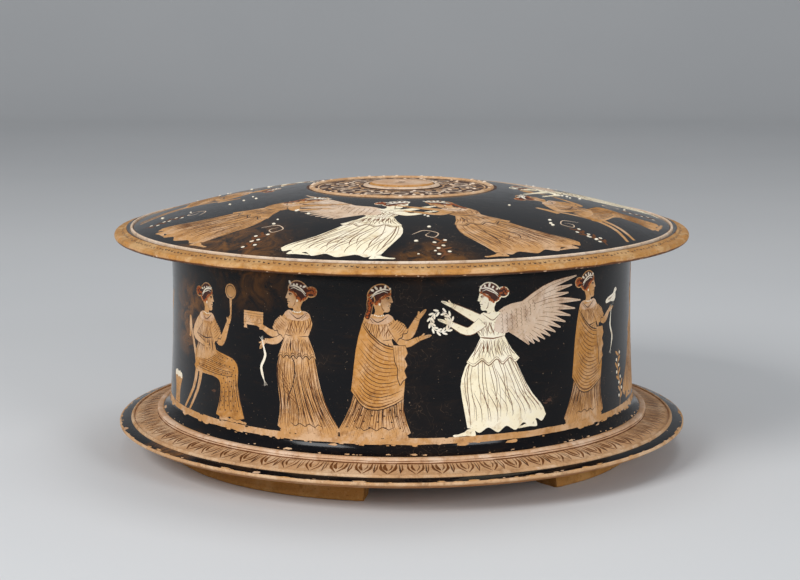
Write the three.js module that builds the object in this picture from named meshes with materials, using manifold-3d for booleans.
// A wide, low pyxis of fired clay: a straight-walled bowl on a moulded base with three feet cut
// from its ring, and a shallow domed lid that lifts off. Millimetres, +Z up. The origin is on the
// axis, on the surface that the feet stand on, and the front of the vessel faces -Y.
//
// A potter throws and turns each section by itself and lutes them together with wet clay, so each
// section here is a solid of its own. Every section of revolution is drawn as a half profile of
// (radius, height) points and turned on the axis, as it would be on a wheel.
import * as THREE from 'three';
import { mergeVertices } from 'three/addons/utils/BufferGeometryUtils.js';
import Module from 'manifold-3d';

const wasm = await Module();
wasm.setup();

// Turning: flats round a full circle, and flats along a quarter of a round moulding.
const CIRCLE_STEPS = 60;
const MOULD_STEPS = 4;

// Fits between sections. The lid sits by its own weight, with play inside the wall.
const LUTING_GAP = 0.3;
const SEAT_GAP = 0.25;
const LID_PLAY = 1.5;

// Feet: three arcs that are left of a foot ring when three gaps are cut from it.
const FOOT_COUNT = 3;
const FOOT_RADIUS = 98.6;
const FOOT_WIDTH = 13.6;
const FOOT_HEIGHT = 10.5;
const FOOT_GAP_ANGLE = 46.8;
const FIRST_GAP_AT = 14.8;
const FOOT_EDGE_ROUND = 1.2;
const FOOT_WAIST = 0.8;

// Base: a broad flange with an edge, a painted band, a bead, an ovolo slope and an upper bead.
const BASE_RADIUS = 119.5;
const BASE_THICKNESS = 8;
const BASE_EDGE_HEIGHT = 1.25;
const BASE_EDGE_LIFT = 1.5;
const BASE_UNDERCUT = 3;
const BAND_WIDTH = 4.75;
const BAND_RISE = 0.75;
const BEAD_WIDTH = 1.5;
const BEAD_HEIGHT = 0.8;
const UPPER_BEAD_WIDTH = 2.5;
const UPPER_BEAD_HEIGHT = 2.1;

// Bowl: a wall with a flared foot and a faint waist, and a floor inside it.
const WALL_RADIUS = 96.5;
const WALL_THICKNESS = 5.5;
const WALL_HEIGHT = 71.25;
const WALL_FLARE = 4.6;
const WALL_FLARE_HEIGHT = 4.7;
const WALL_TAPER = 1.5;
const LIP_ROUND = 0.7;
const FLOOR_THICKNESS = 5.5;
const FLOOR_CHAMFER = 0.8;

// Lid: a dome with a rim moulding round it, and a ring below that keeps it on the wall.
const LID_RADIUS = 120;
const RIM_WIDTH = 8;
const RIM_ROLL = 1.45;
const RIM_RISE = 5;
const RIM_BEAD_WIDTH = 1.4;
const RIM_BEAD_HEIGHT = 0.7;
const RIM_GROOVE_WIDTH = 0.9;
const RIM_GROOVE_DEPTH = 0.45;
const DOME_RISE = 20;
const DOME_EDGE_HEIGHT = 4.5;
const DOME_THICKNESS = 6;
const DOME_SWELL = 2.2;
const LOCATING_RING_WIDTH = 4;
const LOCATING_RING_DEPTH = 11.5;

// Top of the lid: a raised ring, and a boss with a rim, a groove, a disc and a centre mark.
const FILLET_RADIUS = 37.6;
const FILLET_WIDTH = 2.4;
const FILLET_HEIGHT = 0.8;
const CENTRE_RISE = 0.5;
const BOSS_RADIUS = 16.2;
const BOSS_HEIGHT = 1.65;
const BOSS_BEAD_WIDTH = 1.8;
const BOSS_GROOVE_DEPTH = 0.7;
const BOSS_DISC_SINK = 0.2;
const CENTRE_MARK_RADIUS = 1.5;
const CENTRE_MARK_DEPTH = 0.4;

// Levels and radii where sections meet, each worked out once from the sizes above.
const baseUnder = FOOT_HEIGHT;
const baseTop = baseUnder + BASE_THICKNESS;
const wallTop = baseTop + WALL_HEIGHT;
const lidSeat = wallTop + SEAT_GAP;
const wallInside = WALL_RADIUS - WALL_THICKNESS;
const footInside = FOOT_RADIUS - FOOT_WIDTH;
const wallFootRadius = WALL_RADIUS + WALL_FLARE;
const domeRadius = LID_RADIUS - RIM_WIDTH;
const domeEdgeTop = lidSeat + DOME_EDGE_HEIGHT;
const filletSeat = lidSeat + DOME_RISE - CENTRE_RISE;
const bossSeat = lidSeat + DOME_RISE;
const locatingRingRadius = wallInside - LID_PLAY;
const locatingRingInside = locatingRingRadius - LOCATING_RING_WIDTH;

const BLACK_GLOSS = { color: 0x0d0b0c, roughness: 0.28, metalness: 0 };
const RED_CLAY = { color: 0xb98a5c, roughness: 0.62, metalness: 0 };
const FOOT_CLAY = { color: 0xa5783c, roughness: 0.72, metalness: 0 };
const PALE_CLAY = { color: 0xc9a27c, roughness: 0.68, metalness: 0 };

// Points of a round moulding: an arc about (r, z), from one angle to another, in degrees.
function arc(r, z, radius, from, to, steps) {
  const points = [];
  for (let i = 0; i <= steps; i += 1) {
    const angle = THREE.MathUtils.degToRad(from + ((to - from) * i) / steps);
    points.push([r + radius * Math.cos(angle), z + radius * Math.sin(angle)]);
  }
  return points;
}

// Points of a bead: half an ellipse from (r0, z0) to (r1, z1), swelling by height above the chord.
function bead(r0, z0, r1, z1, height, steps) {
  const points = [];
  for (let i = 0; i <= steps; i += 1) {
    const angle = (Math.PI * i) / steps;
    const along = (1 - Math.cos(angle)) / 2;
    points.push([r0 + (r1 - r0) * along, z0 + (z1 - z0) * along + height * Math.sin(angle)]);
  }
  return points;
}

// Points of a hollow or swelling face: a parabola from one point to another, bowed at its middle.
function bow(r0, z0, r1, z1, bowR, bowZ, steps) {
  const points = [];
  for (let i = 0; i <= steps; i += 1) {
    const t = i / steps;
    const lift = 4 * t * (1 - t);
    points.push([r0 + (r1 - r0) * t + bowR * lift, z0 + (z1 - z0) * t + bowZ * lift]);
  }
  return points;
}

// A half profile turned on the axis. The points run anticlockwise, seen with radius to the right
// and height up. Swapping axes exactly keeps level faces at one height.
function turned(profile) {
  const outline = profile.map(([r, z]) => new THREE.Vector2(r, z));
  const onAxis = outline[0].x === 0;
  if (!onAxis) {
    outline.push(outline[0].clone());
  }
  const geometry = new THREE.LatheGeometry(outline, CIRCLE_STEPS);
  geometry.deleteAttribute('normal');
  geometry.deleteAttribute('uv');
  const place = geometry.getAttribute('position');
  for (let i = 0; i < place.count; i += 1) {
    place.setXYZ(i, place.getZ(i), place.getX(i), place.getY(i));
  }
  const merged = mergeVertices(geometry, 1e-4);
  return withoutEmptyFaces(merged);
}

// Turning a point that is on the axis leaves faces with two corners alike, which are dropped.
function withoutEmptyFaces(geometry) {
  const corners = Array.from(geometry.getIndex().array);
  const kept = [];
  for (let i = 0; i < corners.length; i += 3) {
    const [a, b, c] = corners.slice(i, i + 3);
    if (a !== b && b !== c && c !== a) {
      kept.push(a, b, c);
    }
  }
  geometry.setIndex(kept);
  return geometry;
}

function solidOf(geometry) {
  const vertProperties = new Float32Array(geometry.getAttribute('position').array);
  const triVerts = new Uint32Array(geometry.getIndex().array);
  return new wasm.Manifold(new wasm.Mesh({ numProp: 3, vertProperties, triVerts }));
}

function geometryOf(solid) {
  const mesh = solid.getMesh();
  const geometry = new THREE.BufferGeometry();
  geometry.setAttribute('position', new THREE.BufferAttribute(mesh.vertProperties, 3));
  geometry.setIndex(new THREE.BufferAttribute(mesh.triVerts, 1));
  return geometry;
}

function named(name, geometry, finish) {
  const lit = geometry.toNonIndexed();
  lit.computeVertexNormals();
  const mesh = new THREE.Mesh(lit, new THREE.MeshStandardMaterial(finish));
  mesh.name = name;
  return mesh;
}

// Direction in plan at an angle to the right of the front, which faces -Y.
function fromFront(degrees) {
  const angle = THREE.MathUtils.degToRad(degrees);
  return new THREE.Vector2(Math.sin(angle), -Math.cos(angle));
}

// The foot ring: flat below and above, rounded at its lower edges, a little waisted outside.
function footRing() {
  const round = FOOT_EDGE_ROUND;
  return turned([
    ...arc(footInside + round, round, round, 180, 270, 2),
    ...arc(FOOT_RADIUS - round, round, round, 270, 360, 3),
    ...bow(FOOT_RADIUS, round, FOOT_RADIUS, baseUnder, -FOOT_WAIST, 0, 3).slice(1),
    [footInside, baseUnder],
  ]);
}

// A wedge in plan, wide enough to take one foot out of the ring.
function footWedge(startAngle, endAngle) {
  const reach = 2 * BASE_RADIUS;
  const outline = new THREE.Shape();
  outline.moveTo(0, 0);
  const steps = 3;
  for (let i = 0; i <= steps; i += 1) {
    const corner = fromFront(startAngle + ((endAngle - startAngle) * i) / steps);
    outline.lineTo(corner.x * reach, corner.y * reach);
  }
  outline.closePath();
  const depth = 3 * FOOT_HEIGHT;
  const wedge = new THREE.ExtrudeGeometry(outline, { depth, bevelEnabled: false });
  wedge.translate(0, 0, -FOOT_HEIGHT);
  wedge.deleteAttribute('normal');
  wedge.deleteAttribute('uv');
  return mergeVertices(wedge, 1e-4);
}

function feet() {
  const ring = solidOf(footRing());
  const pitch = 360 / FOOT_COUNT;
  const names = ['foot_front_right', 'foot_back', 'foot_front_left'];
  const meshes = [];
  for (let i = 0; i < FOOT_COUNT; i += 1) {
    const start = FIRST_GAP_AT + FOOT_GAP_ANGLE / 2 + i * pitch;
    const end = start + pitch - FOOT_GAP_ANGLE;
    const foot = ring.intersect(solidOf(footWedge(start, end)));
    meshes.push(named(names[i] ?? `foot_${i + 1}`, geometryOf(foot), FOOT_CLAY));
  }
  return meshes;
}

// The base flange. Its level top carries the wall and the floor, and the feet stand under it.
function baseFlange() {
  const edgeLow = baseUnder + BASE_EDGE_LIFT;
  const edgeHigh = edgeLow + BASE_EDGE_HEIGHT;
  const bandInside = BASE_RADIUS - BAND_WIDTH;
  const bandTop = edgeHigh + BAND_RISE;
  const beadInside = bandInside - BEAD_WIDTH;
  const upperBeadOutside = wallFootRadius + UPPER_BEAD_WIDTH;
  const slopeTop = baseTop - UPPER_BEAD_HEIGHT;
  const slopeSwell = 0.25;
  const edgeChamfer = 0.3;
  return turned([
    [footInside, baseUnder],
    [BASE_RADIUS - BASE_UNDERCUT, baseUnder],
    [BASE_RADIUS - edgeChamfer, edgeLow],
    [BASE_RADIUS, edgeLow + edgeChamfer],
    [BASE_RADIUS, edgeHigh - edgeChamfer],
    [BASE_RADIUS - edgeChamfer, edgeHigh],
    ...bead(bandInside, bandTop, beadInside, bandTop + BEAD_HEIGHT / 2, BEAD_HEIGHT, MOULD_STEPS),
    ...bow(beadInside, bandTop + BEAD_HEIGHT / 2, upperBeadOutside, slopeTop, 0, slopeSwell, 3).slice(1),
    ...arc(upperBeadOutside - UPPER_BEAD_WIDTH / 2, slopeTop + UPPER_BEAD_HEIGHT / 2,
      UPPER_BEAD_WIDTH / 2, 0, 60, 2),
    [wallFootRadius, baseTop],
    [footInside, baseTop],
  ]);
}

// The wall: flared where it meets the base, then drawn in to a faint waist, with a rounded lip.
function bowlWall() {
  const flareTop = baseTop + WALL_FLARE_HEIGHT;
  const shoulder = WALL_RADIUS + WALL_TAPER;
  const lipOutside = WALL_RADIUS - LIP_ROUND;
  const lipInside = wallInside + LIP_ROUND;
  const flareHollow = -0.7;
  const waist = -0.8;
  return turned([
    [wallInside, baseTop],
    ...bow(wallFootRadius, baseTop, shoulder, flareTop, flareHollow, 0, 3),
    ...bow(shoulder, flareTop, WALL_RADIUS, wallTop - LIP_ROUND, waist, 0, 5).slice(1),
    ...arc(lipOutside, wallTop - LIP_ROUND, LIP_ROUND, 45, 90, 1),
    ...arc(lipInside, wallTop - LIP_ROUND, LIP_ROUND, 90, 180, 2),
  ]);
}

// The floor: a flat disc that lies inside the wall, on the level top of the base.
function bowlFloor() {
  const radius = wallInside - LUTING_GAP;
  const top = baseTop + FLOOR_THICKNESS;
  return turned([
    [0, baseTop],
    [radius, baseTop],
    [radius, top - FLOOR_CHAMFER],
    [radius - FLOOR_CHAMFER, top],
    [0, top],
  ]);
}

// Height of the dome's upper face at a radius: a straight fall that swells a little midway.
function domeTop(radius) {
  const start = FILLET_RADIUS + FILLET_WIDTH;
  const t = (radius - start) / (domeRadius - start);
  return filletSeat + (domeEdgeTop - filletSeat) * t + DOME_SWELL * 4 * t * (1 - t);
}

// The dome: level under its edge, where it rests on the wall, and hollow inside the locating ring.
function lidDome() {
  const shoulders = [0.25, 0.5, 0.75];
  const start = FILLET_RADIUS + FILLET_WIDTH;
  const hollowEdge = locatingRingInside;
  const hollowTop = bossSeat - DOME_THICKNESS;
  const hollowShoulder = 0.9 * hollowEdge;
  const underside = [0, 0.4, 0.7, 1].map((t) => {
    const radius = start + (hollowShoulder - start) * t;
    return [radius, domeTop(radius) - DOME_THICKNESS];
  });
  return turned([
    [0, hollowTop],
    ...underside,
    [hollowEdge, lidSeat],
    [domeRadius, lidSeat],
    [domeRadius, domeEdgeTop],
    ...shoulders.map((t) => domeRadius + (start - domeRadius) * t).map((r) => [r, domeTop(r)]),
    [start, filletSeat],
    [FILLET_RADIUS - FILLET_WIDTH / 2, filletSeat],
    [BOSS_RADIUS + 1, bossSeat],
    [0, bossSeat],
  ]);
}

// The rim moulding: a rolled edge, a sloping band, a groove and a raised line beside the dome.
function lidRim() {
  const inside = domeRadius + LUTING_GAP;
  const rollCentre = LID_RADIUS - RIM_ROLL;
  const rollTop = lidSeat + 2 * RIM_ROLL;
  const top = lidSeat + RIM_RISE;
  const beadOutside = inside + RIM_BEAD_WIDTH;
  const beadFoot = top - RIM_BEAD_HEIGHT;
  const grooveOutside = beadOutside + RIM_GROOVE_WIDTH;
  const rollInside = rollCentre - RIM_ROLL;
  return turned([
    [inside, lidSeat],
    ...arc(rollCentre, lidSeat + RIM_ROLL, RIM_ROLL, -90, 90, 6),
    [rollInside, rollTop],
    [grooveOutside, beadFoot],
    [beadOutside, beadFoot - RIM_GROOVE_DEPTH],
    ...bead(beadOutside, beadFoot, inside, beadFoot, RIM_BEAD_HEIGHT, MOULD_STEPS),
  ]);
}

// The ring under the lid, which hangs inside the wall and stops the lid from sliding off.
function lidLocatingRing() {
  const low = lidSeat - LOCATING_RING_DEPTH;
  const chamfer = 0.8;
  return turned([
    [locatingRingInside, low + chamfer],
    [locatingRingInside + chamfer, low],
    [locatingRingRadius - chamfer, low],
    [locatingRingRadius, low + chamfer],
    [locatingRingRadius, lidSeat],
    [locatingRingInside, lidSeat],
  ]);
}

function lidFilletRing() {
  const outside = FILLET_RADIUS + FILLET_WIDTH / 2;
  const inside = FILLET_RADIUS - FILLET_WIDTH / 2;
  return turned([...bead(outside, filletSeat, inside, filletSeat, FILLET_HEIGHT, MOULD_STEPS)]);
}

// The boss: a raised rim, a groove, a flat disc and a sunk mark where the turning centred.
function lidBoss() {
  const top = bossSeat + BOSS_HEIGHT;
  const beadInside = BOSS_RADIUS - BOSS_BEAD_WIDTH;
  const beadFoot = top - BOSS_BEAD_WIDTH / 2;
  const disc = top - BOSS_DISC_SINK;
  const grooveWidth = 0.8;
  return turned([
    [0, bossSeat],
    [BOSS_RADIUS, bossSeat],
    ...bead(BOSS_RADIUS, beadFoot, beadInside, beadFoot, BOSS_BEAD_WIDTH / 2, MOULD_STEPS),
    [beadInside - grooveWidth / 2, top - BOSS_GROOVE_DEPTH - BOSS_DISC_SINK],
    [beadInside - grooveWidth, disc],
    [CENTRE_MARK_RADIUS, disc],
    [CENTRE_MARK_RADIUS * 0.6, disc - CENTRE_MARK_DEPTH],
    [0, disc - CENTRE_MARK_DEPTH],
  ]);
}

const bowl = new THREE.Group();
bowl.add(named('base_flange', baseFlange(), PALE_CLAY));
bowl.add(named('bowl_wall', bowlWall(), BLACK_GLOSS));
bowl.add(named('bowl_floor', bowlFloor(), RED_CLAY));
bowl.add(...feet());

const lid = new THREE.Group();
lid.add(named('lid_dome', lidDome(), BLACK_GLOSS));
lid.add(named('lid_rim', lidRim(), RED_CLAY));
lid.add(named('lid_locating_ring', lidLocatingRing(), RED_CLAY));
lid.add(named('lid_fillet_ring', lidFilletRing(), RED_CLAY));
lid.add(named('lid_boss', lidBoss(), PALE_CLAY));

const pyxis = new THREE.Group();
pyxis.add(bowl, lid);

export default pyxis;
